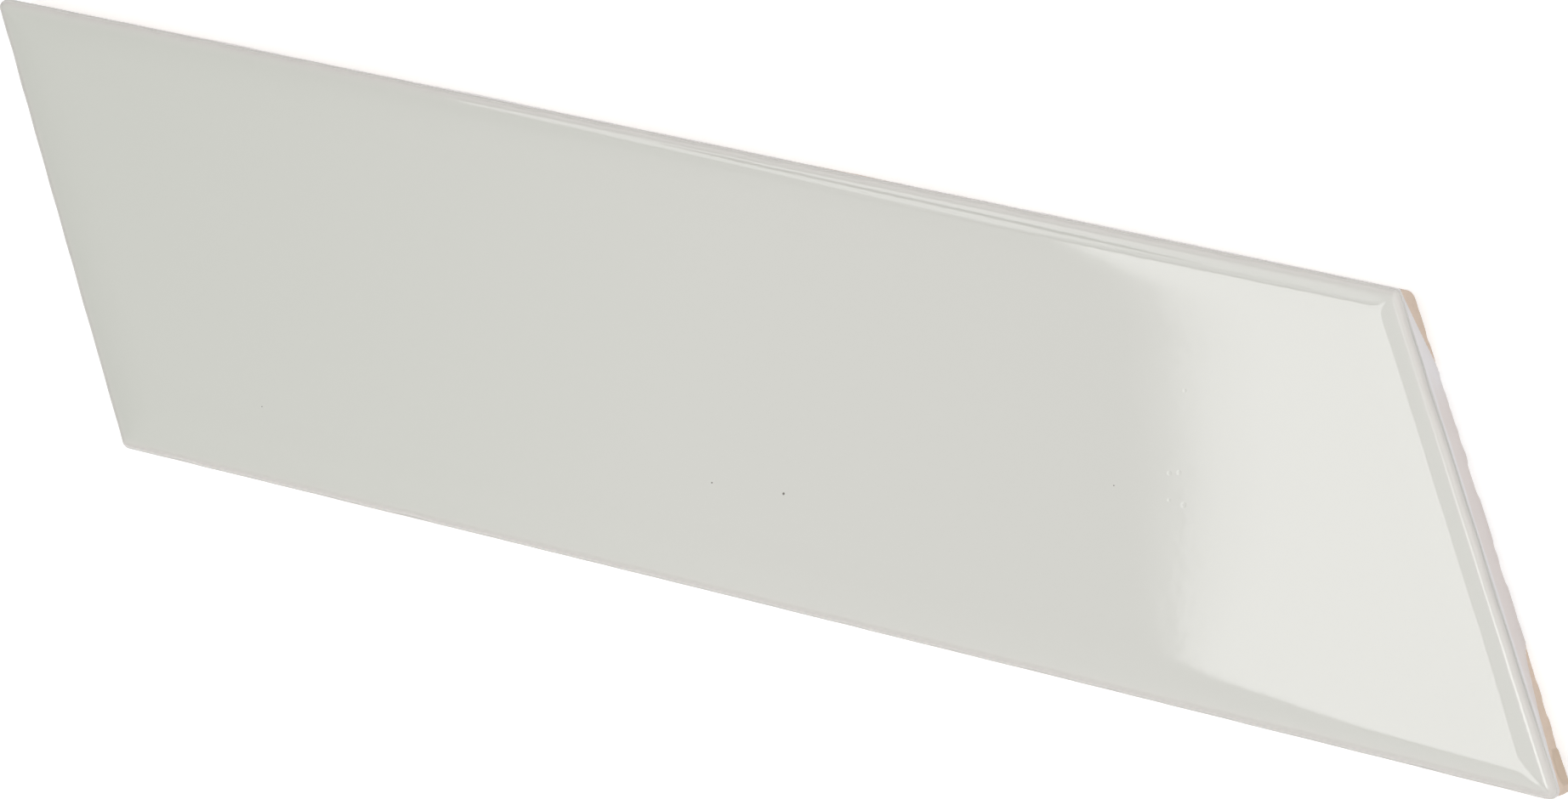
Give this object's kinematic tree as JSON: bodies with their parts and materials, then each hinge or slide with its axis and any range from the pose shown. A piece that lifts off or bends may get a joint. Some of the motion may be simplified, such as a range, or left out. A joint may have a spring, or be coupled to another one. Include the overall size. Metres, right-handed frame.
{
  "type": "chevron wall tile",
  "caption": "Glazed ceramic wall tile with a slanted parallelogram outline and a cushioned face, laid with its mirror image in a chevron pattern.",
  "frame": {"origin": "middle of the back, on the plane that the tile rests on", "axes": "+X along the long sides, +Y across the tile, +Z out of the glazed face"},
  "size_m": [0.2146, 0.052, 0.0083],
  "materials": {
    "glazed_tile": "glossy pale grey-white glaze on the face and arris, thin runs of it on the walls, bare biscuit below and on the back"
  },
  "bodies": {
    "root": {"chevron_tile": "glazed_tile"}
  },
  "joints": []
}
